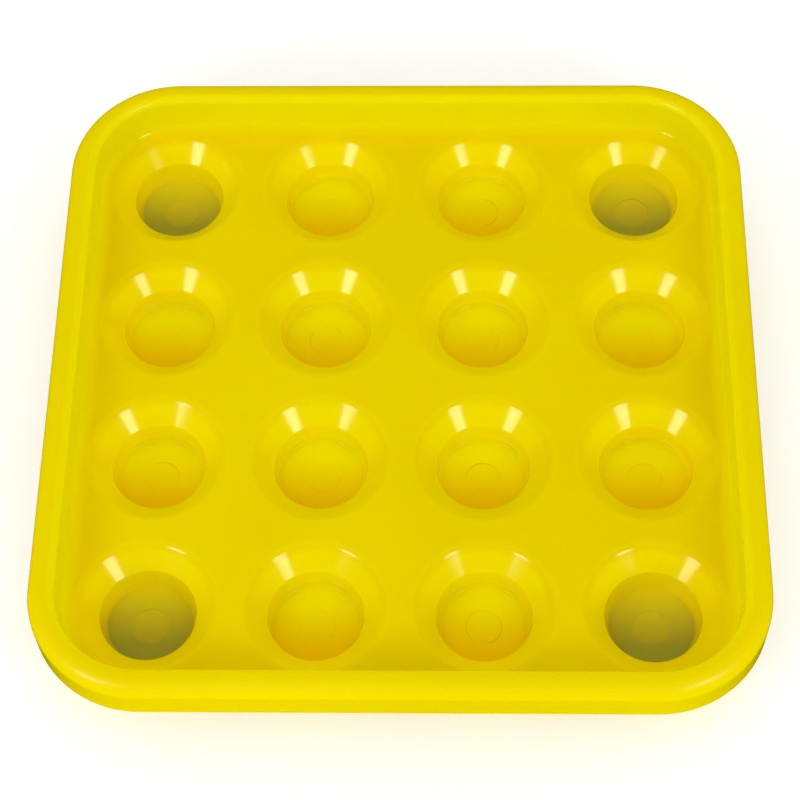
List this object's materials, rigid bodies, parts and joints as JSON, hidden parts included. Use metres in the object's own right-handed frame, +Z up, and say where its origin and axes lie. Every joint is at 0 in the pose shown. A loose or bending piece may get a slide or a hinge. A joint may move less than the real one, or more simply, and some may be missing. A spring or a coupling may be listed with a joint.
{
  "type": "billiard ball tray",
  "caption": "Square moulded plastic tray with a raised rounded rim and a grid of round tapered pockets that hold billiard balls, on rubber feet.",
  "frame": {"origin": "on the table, below the middle of the tray", "axes": "+Z up, +Y towards the back edge, +X to the right; both are along the rows of pockets"},
  "size_m": [0.2686, 0.2686, 0.0408],
  "materials": {
    "shell": "moulded gloss, slightly translucent",
    "foot": "matte"
  },
  "bodies": {
    "root": {"tray": "shell", "foot_front_left": "foot", "foot_front_right": "foot", "foot_back_left": "foot", "foot_back_right": "foot"}
  },
  "joints": []
}
